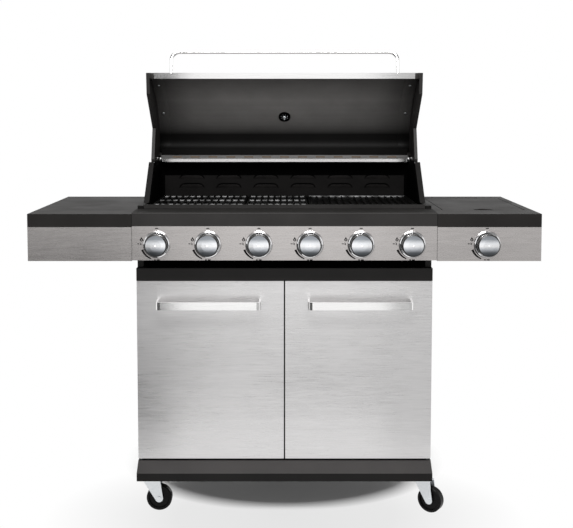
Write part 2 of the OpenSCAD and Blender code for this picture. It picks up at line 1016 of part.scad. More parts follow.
// Flush lid over the side burner with a finger recess in its front edge
module burner_lid() {
    low = [lid_x[0] + lid_gap, lid_d[0] + 1.5];
    high = [lid_x[1] - lid_gap, lid_hinge_d + 2.5];
    lid_t = 2;
    skirt_t = 3;
    skirt_h = 7.5;
    recess_r = 30;
    color(dark_paint)
        place() {
            difference() {
                union() {
                    block(concat(low, [table_z - lid_t]), concat(high, [table_z]));
                    for (x = [low[0], high[0] - skirt_t])
                        block([x, low[1], table_z - skirt_h], [x + skirt_t, high[1], table_z]);
                    // Hinge pins at the rear corners
                    cross_rod(lid_hinge_d, lid_hinge_z, lid_pin_r, lid_x[0] - 3, low[0] + skirt_t);
                    cross_rod(lid_hinge_d, lid_hinge_z, lid_pin_r, high[0] - skirt_t, lid_x[1] + 3);
                }
                translate([burner_centre[0], low[1] - 4, table_z - 20])
                    cylinder(r = recess_r, h = 40);
            }
        }
}

// ---- Hood -------------------------------------------------------------

// Hole square to the hood for the thermometer stem
module thermometer_hole() {
    at_thermometer()
        translate([0, 0, -20])
            cylinder(r = thermo_stem_r + 0.5, h = 40);
}

module hood_skin() {
    t = sheet;
    hem = 18;
    rear_hem = 12;
    foot = hood_back_foot;
    inner = [for (p = hood_line(t)) if (p[1] > lip[1] + 2 * t) p];
    color(stainless)
        place()
            opened()
                difference() {
                    along_x(-hood_skin_half, hood_skin_half)
                        polygon(concat(
                            [lip + [hem, 0]], hood_line(0),
                            [[hood_back_d, foot], [hood_back_d - rear_hem, foot],
                             [hood_back_d - rear_hem, foot + t], [hood_back_d - t, foot + t]],
                            reversed(inner), [lip + [2 * t, t], lip + [hem, t]]
                        ));
                    thermometer_hole();
                }
}

module hood_liner() {
    gap = 6;
    t = 1;
    foot = hood_back_foot + 4;
    back = hood_back_d - gap;
    flange = 26;
    outer = [for (p = hood_line(gap)) if (p[1] > lip[1] + 5) p];
    inner = [for (p = hood_line(gap + t)) if (p[1] > lip[1] + 5) p];
    color(dark_paint)
        place()
            opened()
                difference() {
                    along_x(-hood_skin_half + 2, hood_skin_half - 2)
                        polygon(concat(
                            [outer[0] - [4, 15]], outer,
                            [[back, foot], [back - flange, foot], [back - flange, foot + t], [back - t, foot + t]],
                            reversed(inner), [inner[0] - [4, 15]]
                        ));
                    thermometer_hole();
                }
}

// Rim of the hood ends, 2 mm above the firebox sides
rim_points = [[hood_back_d, 971], [446, 971], [355, 1021], [229, 907], [lip[0] + 1, 908]];

module hood_end() {
    plate_in = 415;
    band = 3;
    band_in = 400.5;
    outer = [for (p = hood_line(0)) if (p[1] > 909) p];
    inner = [for (p = hood_line(band)) if (p[1] > 909) p];
    along_x(plate_in, side_outer)
        polygon(concat(outer, rim_points));
    // Boss around the hinge pin
    along_x(plate_in, side_outer)
        translate([hinge_d, hinge_z])
            circle(pin_r + 4);
    // Flange that follows the skin
    along_x(band_in, plate_in + 1)
        polygon(concat(outer, [[hood_back_d, 1045], [hood_back_d - band, 1045]], reversed(inner)));
    cross_rod(hinge_d, hinge_z, pin_r, tub_half - 4, plate_in + 1);
}

module hood_ends() {
    color(black_paint)
        place()
            opened()
                both_sides()
                    hood_end();
}

// Bent tube: a bar with two legs that stand square on the skin
module hood_handle() {
    straight = handle_half - handle_bend;
    color(bright_steel)
        place()
            opened()
                translate([0, handle_bar[0], handle_bar[1]])
                    rotate([-handle_tilt, 0, 0]) {
                        cross_rod(0, 0, handle_r, -straight, straight);
                        both_sides() {
                            translate([straight, handle_bend, 0])
                                rotate([0, 0, -90])
                                    rotate_extrude(angle = 90)
                                        translate([handle_bend, 0])
                                            circle(handle_r);
                            translate([handle_half, handle_bend, 0])
                                rotate([-90, 0, 0])
                                    cylinder(r = handle_r, h = handle_leg - handle_bend);
                            translate([handle_half, handle_leg - 3, 0])
                                rotate([-90, 0, 0])
                                    cylinder(r = handle_r + 5, h = 3);
                        }
                    }
}

// Dial outside the skin, stem through the hood and nut inside
module hood_thermometer() {
    dial_r = 33;
    color(bright_steel)
        place()
            opened()
                at_thermometer() {
                    translate([0, 0, 0.2])
                        cylinder(r = dial_r, h = 10);
                    translate([0, 0, -60])
                        cylinder(r = thermo_stem_r, h = 61);
                    translate([0, 0, -11])
                        cylinder(r = 19.5, h = 3);
                    translate([0, 0, -17])
                        cylinder(r = 9, h = 6.5, $fn = 6);
                }
}

// ---- Nodes ------------------------------------------------------------

bottom_shelf();
cabinet_sides();
cabinet_back();
front_rail();
door_pins();
caster_plates();
control_panel();
control_fascia();
knob_bezels();
gas_manifold();
gas_inlet();
gas_valves();
firebox_tub();
firebox_sides();
firebox_back();
rear_rail();
burners();
flame_tamers();
grate_left();
grate_middle();
griddle_plate();
side_table_left();
side_table_right();
side_panels();
table_brackets();
side_burner();
side_burner_grid();
hood_skin();
hood_liner();
hood_ends();
hood_handle();
hood_thermometer();
door_left();
door_right();
door_handle(-door_handle_x);  // door_handle_left
door_handle(door_handle_x);  // door_handle_right
burner_lid();
grease_tray();
valve_stem(0);  // valve_stem_1
valve_stem(1);  // valve_stem_2
valve_stem(2);  // valve_stem_3
valve_stem(3);  // valve_stem_4
valve_stem(4);  // valve_stem_5
valve_stem(5);  // valve_stem_6
valve_stem(6);  // valve_stem_side
knob(0);  // knob_1
knob(1);  // knob_2
knob(2);  // knob_3
knob(3);  // knob_4
knob(4);  // knob_5
knob(5);  // knob_6
knob(6);  // knob_side
caster_fork(-1, 0, trail_front_left);  // caster_fork_front_left
caster_fork(1, 0, trail_front_right);  // caster_fork_front_right
caster_fork(-1, 1, trail_rear_left);  // caster_fork_rear_left
caster_fork(1, 1, trail_rear_right);  // caster_fork_rear_right
wheel(-1, 0, trail_front_left);  // wheel_front_left
wheel(1, 0, trail_front_right);  // wheel_front_right
wheel(-1, 1, trail_rear_left);  // wheel_rear_left
wheel(1, 1, trail_rear_right);  // wheel_rear_right
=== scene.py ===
import functools
import math

import bmesh
import bpy
from mathutils import Matrix, Vector

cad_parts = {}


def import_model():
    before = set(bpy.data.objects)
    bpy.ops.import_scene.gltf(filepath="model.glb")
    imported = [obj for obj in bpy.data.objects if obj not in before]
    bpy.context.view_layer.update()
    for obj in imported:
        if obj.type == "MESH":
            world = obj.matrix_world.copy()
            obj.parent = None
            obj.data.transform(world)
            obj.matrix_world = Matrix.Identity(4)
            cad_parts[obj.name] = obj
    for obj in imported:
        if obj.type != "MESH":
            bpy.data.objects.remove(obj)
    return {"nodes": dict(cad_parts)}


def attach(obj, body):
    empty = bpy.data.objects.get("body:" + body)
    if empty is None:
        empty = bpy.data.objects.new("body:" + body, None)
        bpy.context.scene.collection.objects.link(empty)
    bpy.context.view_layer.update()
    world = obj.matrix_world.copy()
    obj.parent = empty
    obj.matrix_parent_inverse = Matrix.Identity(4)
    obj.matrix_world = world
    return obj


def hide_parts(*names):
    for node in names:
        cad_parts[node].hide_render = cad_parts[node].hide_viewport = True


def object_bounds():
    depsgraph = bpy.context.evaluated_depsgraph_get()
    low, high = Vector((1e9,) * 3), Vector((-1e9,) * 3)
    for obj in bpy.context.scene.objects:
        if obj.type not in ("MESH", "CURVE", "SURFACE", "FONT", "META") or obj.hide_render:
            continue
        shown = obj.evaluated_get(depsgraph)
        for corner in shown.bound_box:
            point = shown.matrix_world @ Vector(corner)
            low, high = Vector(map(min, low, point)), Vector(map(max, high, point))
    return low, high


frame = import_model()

cad_low, cad_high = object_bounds()
nodes = frame["nodes"]
scene = bpy.context.scene
collection = scene.collection

# The frame's origin is this far behind the control panel, so y = depth - ORIGIN_DEPTH
ORIGIN_DEPTH = 0.267668
PANEL_Y = -ORIGIN_DEPTH
KNOB_PITCH = 0.143
KNOB_Z = 0.806
KNOB_R = 0.0315
GRATE_TOP = 0.897
SIDE_KNOB_X = 0.567
KNOB_X = [(i - 2.5) * KNOB_PITCH for i in range(6)] + [SIDE_KNOB_X]
KNOB_NODES = [f"knob_{i}" for i in range(1, 7)] + ["knob_side"]
MARK_THICKNESS = 0.00012

# Places on the CAD nodes where one coating gives way to another, and where painted shade or a painted
# highlight begins
KNOB_CAP_Y = PANEL_Y - 0.025
PANEL_REAR_Y = PANEL_Y + 0.003
BAFFLE_Z = 0.727
FIREBOX_LIP_Y = -0.16
FIREBOX_LIP_Z = 0.894
FIREBOX_REAR_Y = 0.262
FIRST_CROSS_BAR_Y = -0.09
HOOD_HEM_Z = 1.26

# Rear panel of the firebox and its louvres
PLATE_Y = 0.527 - ORIGIN_DEPTH
LOUVRE_ROWS = (0.928, 0.958)
LOUVRE_PITCH = 0.1226
LOUVRE_HALF = 0.04
FIREBOX_HALF = 0.404
FIREBOX_FLOOR_Z = 0.8902
REAR_PANEL_TOP_Z = 0.964
REAR_WALL_TOP_Z = 1.008

# Heights on the open hood between which the painted tone of its inner coating goes from painted shade to a
# painted band of light
HOOD_FOOT_Z = 1.035
HOOD_LIP_Z = 1.285
SHADED_FOOT_TONE = 0.006
LIT_BAND_TONE = 0.3
SHADED_LIP_TONE = 0.12

# Hood profile, closed, in metres of depth and height
HINGE = (0.457, 1.019)
HOOD_ANGLE = math.radians(82)
LIP = (0.163, 0.900)
LIP_HEADING = 75
# Radius, turn in degrees and steps of each arc
HOOD_ARCS = [(0.348, 45, 18), (0.205, 25, 10), (0.042, 95, 16)]
# Inset of the inward face of the flanges that lie over the liner
FLANGE_INSET = 0.0092


# ---- Shader helpers ------------------------------------------------------

class Shader:
    """A node material built round one Principled BSDF."""

    def __init__(self, name, **sockets):
        self.mat = bpy.data.materials.new(name)
        self.mat.use_nodes = True
        self.tree = self.mat.node_tree
        self.bsdf = self.tree.nodes["Principled BSDF"]
        for socket, value in sockets.items():
            self.bsdf.inputs[socket.replace("_", " ")].default_value = value

    def add(self, kind, **settings):
        node = self.tree.nodes.new(kind)
        for key, value in settings.items():
            setattr(node, key, value)
        return node

    def link(self, source, target):
        self.tree.links.new(source, target)

    def place(self, scale=(1, 1, 1)):
        """Object coordinates, stretched."""
        coords = self.add("ShaderNodeTexCoord")
        mapping = self.add("ShaderNodeMapping")
        mapping.inputs["Scale"].default_value = scale
        self.link(coords.outputs["Object"], mapping.inputs["Vector"])
        return mapping.outputs["Vector"]

    def height(self):
        """Height of the point in object coordinates."""
        split = self.add("ShaderNodeSeparateXYZ")
        self.link(self.place(), split.inputs["Vector"])
        return split.outputs["Z"]

    def across(self, half):
        """Distance from the centre plane, 1 at half metres."""
        split = self.add("ShaderNodeSeparateXYZ")
        self.link(self.place((1.0 / half, 1, 1)), split.inputs["Vector"])
        size = self.add("ShaderNodeMath", operation="ABSOLUTE")
        self.link(split.outputs["X"], size.inputs[0])
        return size.outputs["Value"]

    def noise(self, size, stretch=(1, 1, 1), detail=2.0, rough=0.5):
        """Noise whose features are about size metres across."""
        node = self.add("ShaderNodeTexNoise")
        node.inputs["Scale"].default_value = 1.0 / size
        node.inputs["Detail"].default_value = detail
        node.inputs["Roughness"].default_value = rough
        self.link(self.place(stretch), node.inputs["Vector"])
        return node.outputs["Fac"]

    def spread(self, source, low, high, start=0.3, end=0.7):
        """Maps a range of numbers to another."""
        node = self.add("ShaderNodeMapRange")
        node.inputs["From Min"].default_value = start
        node.inputs["From Max"].default_value = end
        node.inputs["To Min"].default_value = low
        node.inputs["To Max"].default_value = high
        self.link(source, node.inputs["Value"])
        return node.outputs["Result"]

    def ramp(self, source, *stops):
        """Maps a 0..1 factor to colours given as (place, colour)."""
        node = self.add("ShaderNodeValToRGB")
        ramp = node.color_ramp
        while len(ramp.elements) < len(stops):
            ramp.elements.new(0.5)
        for element, (at, colour) in zip(ramp.elements, stops):
            element.position = at
            element.color = (*colour, 1.0)
        self.link(source, node.inputs["Fac"])
        return node.outputs["Color"]

    def multiply(self, a, b):
        node = self.add("ShaderNodeMix", data_type="RGBA", blend_type="MULTIPLY")
        node.inputs["Factor"].default_value = 1.0
        colour = [s for s in node.inputs if s.type == "RGBA"]
        self.link(a, colour[0])
        self.link(b, colour[1])
        return [s for s in node.outputs if s.type == "RGBA"][0]

    def bump(self, source, height, strength=1.0, after=None):
        """Bump of a height in metres; chains onto an earlier bump."""
        node = self.add("ShaderNodeBump")
        node.inputs["Distance"].default_value = height
        node.inputs["Strength"].default_value = strength
        self.link(source, node.inputs["Height"])
        if after is not None:
            self.link(after, node.inputs["Normal"])
        self.link(node.outputs["Normal"], self.bsdf.inputs["Normal"])
        return node.outputs["Normal"]

    def feed(self, socket, source):
        self.link(source, self.bsdf.inputs[socket])

    def grain_along_x(self):
        """Grain along X spreads the highlights up and down."""
        tangent = self.add("ShaderNodeVectorTransform", vector_type="VECTOR",
                           convert_from="OBJECT", convert_to="WORLD")
        tangent.inputs["Vector"].default_value = (0, 0, 1)
        self.feed("Tangent", tangent.outputs["Vector"])


def tint(colour, factor):
    return tuple(min(1.0, c * factor) for c in colour)


def grey(value):
    return (value, value, value)


# ---- Materials -----------------------------------------------------------

def brushed_steel(name, colour, rough=0.3, grain=(1, 60, 60), depth=0.00004):
    """Stainless sheet with grain along X: streaks in tone, roughness and bump, and faint smudges."""
    s = Shader(name, Metallic=1.0, Roughness=rough, Anisotropic=0.45)
    fine = s.noise(0.06, grain, 3.0, 0.65)
    broad = s.noise(0.5, (0.6, 1, 22), 2.0)
    smudge = s.noise(0.22, (1, 1, 1), 2.0)
    streaks = s.ramp(fine, (0.3, tint(colour, 0.92)), (0.7, tint(colour, 1.05)))
    bands = s.ramp(broad, (0.35, grey(0.97)), (0.65, grey(1.0)))
    s.feed("Base Color", s.multiply(streaks, bands))
    total = s.add("ShaderNodeMath", operation="ADD")
    s.link(s.spread(fine, rough - 0.05, rough + 0.05), total.inputs[0])
    s.link(s.spread(smudge, -0.02, 0.03), total.inputs[1])
    s.feed("Roughness", total.outputs["Value"])
    s.bump(fine, depth, 0.5)
    s.grain_along_x()
    return s.mat


def powder_coat(name, colour, rough=0.42, specular=0.3, texture=0.00005):
    """Satin powder coat: orange peel, slight tone drift and uneven sheen."""
    s = Shader(name, Roughness=rough, Specular_IOR_Level=specular)
    peel = s.noise(0.0025, (1, 1, 1), 2.0)
    drift = s.noise(0.12, (1, 1, 1), 3.0)
    s.feed("Base Color", s.ramp(drift, (0.3, tint(colour, 0.86)), (0.7, tint(colour, 1.14))))
    s.feed("Roughness", s.spread(drift, rough - 0.05, rough + 0.06))
    s.bump(peel, texture, 0.6)
    return s.mat


def hood_enamel(name):
    """Grey heat-resistant coating whose tone holds painted shade and light: near black in its lower quarter,
    a painted band of light above it, painted shade at the lip and at both ends.
    """
    s = Shader(name, Metallic=0.1, Roughness=0.5, Specular_IOR_Level=0.05)
    cloud = s.noise(0.09, (1, 1, 1), 4.0, 0.6)
    fleck = s.noise(0.0018, (1, 1, 1), 1.0)
    level = s.spread(s.height(), 0.0, 1.0, HOOD_FOOT_Z, HOOD_LIP_Z)
    warm = (1.0, 0.965, 0.935)
    # Painted shade at the foot and at the lip, a painted band of light between them
    painted_light_tone = s.ramp(level, (0.25, tint(warm, SHADED_FOOT_TONE)), (0.7, tint(warm, LIT_BAND_TONE)),
                   (1.0, tint(warm, SHADED_LIP_TONE)))
    # Painted shade towards both ends
    ends = s.ramp(s.across(0.4), (0.0, grey(1.0)), (0.45, grey(0.95)), (0.75, grey(0.8)), (1.0, grey(0.38)))
    mottle = s.multiply(painted_light_tone, s.ramp(cloud, (0.3, grey(0.85)), (0.7, grey(1.0))))
    s.feed("Base Color", s.multiply(mottle, ends))
    s.feed("Roughness", s.spread(fleck, 0.4, 0.54))
    s.bump(fleck, 0.00003, 0.5)
    return s.mat


def soot_black(name, colour, rough=0.6, gloss=0.12):
    """Black stove coating inside the firebox, with a dusting of soot."""
    s = Shader(name, Roughness=rough, Specular_IOR_Level=gloss)
    soot = s.noise(0.05, (1, 1, 1), 4.0, 0.6)
    grit = s.noise(0.0015, (1, 1, 1), 1.0)
    s.feed("Base Color", s.ramp(soot, (0.3, tint(colour, 0.7)), (0.7, tint(colour, 1.3))))
    s.feed("Roughness", s.spread(soot, rough - 0.1, rough + 0.1))
    s.bump(grit, 0.00004, 0.5)
    return s.mat


def cast_iron(name):
    """Black enamelled iron with a sandy cast skin."""
    s = Shader(name, Roughness=0.5, Specular_IOR_Level=0.06)
    sand = s.noise(0.0022, (1, 1, 1), 3.0, 0.6)
    mottle = s.noise(0.02, (1, 1, 1), 3.0)
    s.feed("Base Color", s.ramp(mottle, (0.35, (0.0012, 0.0012, 0.0012)), (0.75, (0.004, 0.0038, 0.0036))))
    s.feed("Roughness", s.spread(mottle, 0.4, 0.6))
    s.bump(sand, 0.00015, 0.5)
    return s.mat


def bar_highlight_iron(name):
    """Cross bars of the grates: a painted highlight along the top edge, black below it."""
    s = Shader(name, Roughness=0.35, Specular_IOR_Level=0.3)
    patches = s.noise(0.025, (1, 1, 1), 3.0)
    near_top = s.spread(s.height(), 0.0, 1.0, GRATE_TOP - 0.0055, GRATE_TOP - 0.0035)
    # Painted highlight along the top edge of each bar
    edge = s.ramp(near_top, (0.0, grey(0.001)), (1.0, grey(0.3)))
    s.feed("Base Color", s.multiply(edge, s.ramp(patches, (0.35, grey(0.15)), (0.65, grey(1.0)))))
    s.feed("Roughness", s.spread(patches, 0.3, 0.5))
    s.bump(s.noise(0.0022, (1, 1, 1), 3.0, 0.6), 0.0001, 0.5)
    return s.mat


def chrome(name, colour=(0.86, 0.86, 0.87), rough=0.06):
    """Polished plate with faint wipe marks."""
    s = Shader(name, Metallic=1.0, Roughness=rough)
    wipe = s.noise(0.02, (1, 1, 1), 3.0)
    s.feed("Base Color", s.ramp(wipe, (0.3, tint(colour, 0.96)), (0.7, colour)))
    s.feed("Roughness", s.spread(wipe, rough, rough + 0.06))
    return s.mat


def zinc(name):
    """Bright zinc plate on pressed steel with spangled tone."""
    s = Shader(name, Metallic=0.85, Roughness=0.3)
    spangle = s.noise(0.006, (1, 1, 1), 2.0)
    s.feed("Base Color", s.ramp(spangle, (0.3, (0.74, 0.77, 0.79)), (0.7, (0.8, 0.82, 0.84))))
    s.feed("Roughness", s.spread(spangle, 0.3, 0.36))
    s.bump(spangle, 0.00001, 0.3)
    return s.mat


def knob_face(name):
    """Brushed cap of a knob, slightly domed; its tone holds a soft band of reflected light."""
    s = Shader(name, Metallic=1.0, Roughness=0.22, Anisotropic=0.4)
    lines = s.noise(0.02, (1, 1, 50), 3.0, 0.7)
    streaks = s.ramp(lines, (0.3, (0.94, 0.95, 0.97)), (0.7, (1.0, 1.0, 1.0)))
    low, high = KNOB_Z - KNOB_R, KNOB_Z + KNOB_R
    rise = s.spread(s.height(), 0.0, 1.0, low, high)
    shade = s.ramp(rise, (0.0, (0.03, 0.032, 0.035)), (0.2, (0.14, 0.15, 0.16)),
                   (0.36, (0.6, 0.62, 0.65)), (0.48, (1.0, 1.0, 1.0)), (0.6, (0.92, 0.93, 0.95)),
                   (0.78, (0.3, 0.315, 0.335)), (1.0, (0.18, 0.19, 0.205)))
    s.feed("Base Color", s.multiply(streaks, shade))
    s.feed("Roughness", s.spread(lines, 0.26, 0.34))
    roll = s.spread(s.height(), -1.0, 1.0, low, high)
    square = s.add("ShaderNodeMath", operation="MULTIPLY")
    s.link(roll, square.inputs[0])
    s.link(roll, square.inputs[1])
    # A negative distance makes the middle stand proud
    crown = s.bump(square.outputs["Value"], -0.001, 1.0)
    s.bump(lines, 0.00002, 0.4, after=crown)
    s.grain_along_x()
    return s.mat


def brass(name):
    """Machined brass with a light tarnish."""
    s = Shader(name, Metallic=1.0, Roughness=0.3)
    stain = s.noise(0.01, (1, 1, 1), 3.0)
    s.feed("Base Color", s.ramp(stain, (0.3, (0.52, 0.38, 0.16)), (0.7, (0.72, 0.55, 0.26))))
    s.feed("Roughness", s.spread(stain, 0.22, 0.42))
    return s.mat


def gloss_black(name, rough=0.2, base=0.006, gloss=0.4):
    """Moulded black plastic with soft scuffs."""
    s = Shader(name, Roughness=rough, Specular_IOR_Level=gloss)
    scuff = s.noise(0.008, (1, 1, 1), 4.0, 0.65)
    s.feed("Base Color", s.ramp(scuff, (0.4, grey(base)), (0.8, grey(base * 3))))
    s.feed("Roughness", s.spread(scuff, rough - 0.06, rough + 0.16))
    s.bump(scuff, 0.00006, 0.3)
    return s.mat


def ink(name, colour):
    """Screen-printed mark with slightly worn coverage; the same flat mark also carries painted shade in slots
    and screw recesses.
    """
    s = Shader(name, Roughness=0.5, Specular_IOR_Level=0.06)
    wear = s.noise(0.0012, (1, 1, 1), 2.0)
    s.feed("Base Color", s.ramp(wear, (0.3, colour), (0.8, tint(colour, 1.6))))
    s.feed("Roughness", s.spread(wear, 0.4, 0.6))
    return s.mat


STEEL = brushed_steel("door_steel", (0.77, 0.76, 0.76), 0.3)
# Darker copy of the door steel for the hood skin: painted shade that holds down its reflected light
HOOD_STEEL_PAINTED_SHADE = brushed_steel("hood_steel_painted_shade", (0.28, 0.275, 0.27), 0.3)
PANEL_STEEL = brushed_steel("panel_steel", (0.53, 0.505, 0.495), 0.26)
RAIL_STEEL = brushed_steel("rail_steel", (0.9, 0.89, 0.885), 0.25)
TRIM_STEEL = brushed_steel("trim_steel", (0.95, 0.945, 0.94), 0.12)
BLACK = powder_coat("black_powder_coat", (0.0165, 0.0155, 0.015), 0.42, 0.16)
SIDE_BLACK = powder_coat("side_powder_coat", (0.03, 0.0285, 0.028), 0.4, 0.5)
FIRE_BLACK = powder_coat("firebox_powder_coat", (0.006, 0.0055, 0.0053), 0.5, 0.06)
SHELF_SLOPE_BLACK = powder_coat("shelf_slope_powder_coat", (0.026, 0.024, 0.0235), 0.5, 0.18)
LEDGE_SHADE_BLACK = powder_coat("ledge_painted_shade", (0.009, 0.0085, 0.008), 0.6, 0.05)
TABLE_BLACK = powder_coat("table_powder_coat", (0.0095, 0.0085, 0.008), 0.5, 0.15)
SHELF_BLACK = powder_coat("shelf_powder_coat", (0.008, 0.0075, 0.0073), 0.45, 0.12)
HOOD_GREY = hood_enamel("hood_enamel")
PANEL_BLACK = soot_black("louvre_enamel", (0.0042, 0.0038, 0.0037), 0.6, 0.06)
FLAP_LIT_BLACK = soot_black("louvre_flap_painted_light", (0.011, 0.01, 0.0098), 0.6, 0.1)
HEAT_STEEL = brushed_steel("heat_blued_steel", (0.035, 0.03, 0.028), 0.5)
# Near-black coat: soot, and painted shade in the firebox, on the baffle, behind the control panel, in the
# louvre slits and on the wall above the rear panel
SOOT_AND_SHADE = soot_black("firebox_soot_and_shade", (0.0004, 0.0004, 0.0004), 0.8, 0.01)
BAR_HIGHLIGHT_IRON = bar_highlight_iron("bar_highlight_iron")
IRON = cast_iron("cast_iron")
CHROME = chrome("polished_chrome")
ZINC = zinc("zinc_plate")
KNOB = knob_face("knob_face")
KNOB_BODY = gloss_black("knob_body", 0.3)
BRASS = brass("valve_brass")
WHEEL = gloss_black("wheel_plastic", 0.25, 0.0025, 0.12)
INK_AND_SHADE = ink("panel_ink_and_shade", grey(0.0025))
RED_INK = ink("needle_red", (0.45, 0.02, 0.015))
DIAL_WHITE = ink("dial_white", grey(0.2))
STRIP_GREY = powder_coat("hood_strip_coat", (0.022, 0.021, 0.02), 0.55, 0.1)
SLOT_SHADOW_BROWN = ink("hem_slot_shadow", (0.1, 0.075, 0.055))

NODE_MATERIALS = {
    "bottom_shelf": SHELF_BLACK, "cabinet_sides": BLACK, "cabinet_back": BLACK, "front_rail": BLACK,
    "door_pins": ZINC, "caster_plates": ZINC, "control_panel": PANEL_STEEL, "control_fascia": BLACK,
    "knob_bezels": CHROME, "gas_manifold": ZINC, "gas_inlet": BRASS, "gas_valves": BRASS,
    "firebox_tub": SOOT_AND_SHADE, "firebox_sides": FIRE_BLACK, "firebox_back": PANEL_BLACK, "rear_rail": RAIL_STEEL,
    "burners": HEAT_STEEL, "flame_tamers": HEAT_STEEL,
    "grate_left": IRON, "grate_middle": IRON, "griddle_plate": IRON,
    "side_table_left": TABLE_BLACK, "side_table_right": TABLE_BLACK, "side_panels": PANEL_STEEL,
    "table_brackets": BLACK, "side_burner": SOOT_AND_SHADE, "side_burner_grid": IRON,
    "hood_skin": HOOD_STEEL_PAINTED_SHADE, "hood_liner": HOOD_GREY, "hood_ends": BLACK, "hood_handle": TRIM_STEEL,
    "hood_thermometer": CHROME, "door_left": STEEL, "door_right": STEEL,
    "door_handle_left": TRIM_STEEL, "door_handle_right": TRIM_STEEL,
    "burner_lid": TABLE_BLACK, "grease_tray": ZINC,
}
NODE_GROUPS = (("knob_", KNOB_BODY), ("valve_stem", ZINC), ("caster_fork", ZINC), ("wheel_", WHEEL))


def node_material(name):
    if name in NODE_MATERIALS:
        return NODE_MATERIALS[name]
    for start, material in NODE_GROUPS:
        if name.startswith(start):
            return material
    raise KeyError(name)


def soften(obj, width, angle=40):
    """Rounds the sheet edges a little so that they catch light."""
    bevel = obj.modifiers.new("edge", "BEVEL")
    bevel.width = width
    bevel.segments = 2
    bevel.limit_method = "ANGLE"
    bevel.angle_limit = math.radians(angle)


EDGE_RADIUS = 0.0006
SHARP_NODES = {"hood_liner", "grate_left", "grate_middle", "griddle_plate"}
for node_name, node_obj in nodes.items():
    node_obj.data.materials.clear()
    node_obj.data.materials.append(node_material(node_name))
    if node_name not in SHARP_NODES:
        soften(node_obj, EDGE_RADIUS)


def paint_faces(obj, material, chosen):
    """Gives the faces that chosen(centre, normal) accepts their own material."""
    obj.data.materials.append(material)
    slot_index = len(obj.data.materials) - 1
    for face in obj.data.polygons:
        if chosen(face.center, face.normal):
            face.material_index = slot_index


for name in KNOB_NODES:
    paint_faces(nodes[name], KNOB, lambda c, n: n.y < -0.95 and c.y < KNOB_CAP_Y)
# Outward faces of the two flanks have a lighter satin coat
for name in ("cabinet_sides", "firebox_sides", "hood_ends"):
    paint_faces(nodes[name], SIDE_BLACK, lambda c, n: abs(n.x) > 0.9 and n.x * c.x > 0)
# The baffle above the front rail lies in deep shade; its near-black matt coat is painted shade
paint_faces(nodes["front_rail"], SOOT_AND_SHADE, lambda c, n: c.z > BAFFLE_Z)
# Rear faces of the control panel take the near-black coat: painted shade behind the panel
paint_faces(nodes["control_panel"], SOOT_AND_SHADE, lambda c, n: c.y > PANEL_REAR_Y)
# Front lip of the firebox carries the outer coating
paint_faces(nodes["firebox_tub"], BLACK, lambda c, n: c.y < FIREBOX_LIP_Y and c.z > FIREBOX_LIP_Z)
paint_faces(nodes["firebox_tub"], FIRE_BLACK, lambda c, n: n.y > 0.9 and c.y > FIREBOX_REAR_Y or n.z < -0.5)
# Top face of the fascia under the firebox lip takes a darker copy of the black coat: painted shade
paint_faces(nodes["control_fascia"], LEDGE_SHADE_BLACK, lambda c, n: n.z > 0.9)
# Faces of the shelf that slope forward and up take a lighter copy of its coat
paint_faces(nodes["bottom_shelf"], SHELF_SLOPE_BLACK, lambda c, n: n.y < -0.3 and n.z > 0.3)
# Inner faces of the firebox sides take the near-black coat: soot and painted shade
paint_faces(nodes["firebox_sides"], SOOT_AND_SHADE, lambda c, n: abs(n.x) > 0.9 and c.x * n.x < 0)
# Fronts of the grates' cross bars carry a painted highlight along the top
for name in ("grate_left", "grate_middle", "griddle_plate"):
    paint_faces(nodes[name], BAR_HIGHLIGHT_IRON, lambda c, n: n.y < -0.9 and c.y > FIRST_CROSS_BAR_Y)
# Folded hem along the lip of the hood
paint_faces(nodes["hood_skin"], TRIM_STEEL, lambda c, n: n.y < -0.9 and c.z > HOOD_HEM_Z)


# ---- Geometry helpers ------------------------------------------------------

def build(name, bm, material, body, edge=0.0, smooth=True):
    """Turns a bmesh in the row frame into a piece that rides on a body."""
    mesh = bpy.data.meshes.new(name)
    bmesh.ops.recalc_face_normals(bm, faces=bm.faces)
    bm.to_mesh(mesh)
    bm.free()
    for face in mesh.polygons:
        face.use_smooth = smooth
    obj = bpy.data.objects.new(name, mesh)
    obj.data.materials.append(material)
    collection.objects.link(obj)
    if edge:
        soften(obj, edge)
    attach(obj, body)
    return obj


def add_block(bm, low, high):
    """Box between two corners."""
    size = [h - l for l, h in zip(low, high)]
    centre = [(l + h) / 2 for l, h in zip(low, high)]
    matrix = Matrix.Translation(centre) @ Matrix.Diagonal((*size, 1))
    bmesh.ops.create_cube(bm, size=1.0, matrix=matrix)


def add_outline(bm, points, place, thickness):
    """Flat shape drawn as 2-D points, raised along its local Z and moved by place."""
    lower = [bm.verts.new(place @ Vector((x, y, 0))) for x, y in points]
    upper = [bm.verts.new(place @ Vector((x, y, thickness))) for x, y in points]
    bm.faces.new(upper)
    bm.faces.new(list(reversed(lower)))
    count = len(points)
    for i in range(count):
        j = (i + 1) % count
        bm.faces.new((lower[i], lower[j], upper[j], upper[i]))


def add_lathe(bm, profile, place, steps=32):
    """Turns a profile of (radius, height) about local Z."""
    rings = []
    for r, h in profile:
        if r < 1e-6:
            rings.append([bm.verts.new(place @ Vector((0, 0, h)))])
            continue
        rings.append([bm.verts.new(place @ Vector((r * math.cos(2 * math.pi * i / steps),
                                                   r * math.sin(2 * math.pi * i / steps), h)))
                      for i in range(steps)])
    for lower, upper in zip(rings, rings[1:]):
        for i in range(steps):
            j = (i + 1) % steps
            corners = [lower[i % len(lower)], lower[j % len(lower)],
                       upper[j % len(upper)], upper[i % len(upper)]]
            unique = list(dict.fromkeys(corners))
            if len(unique) > 2:
                bm.faces.new(unique)


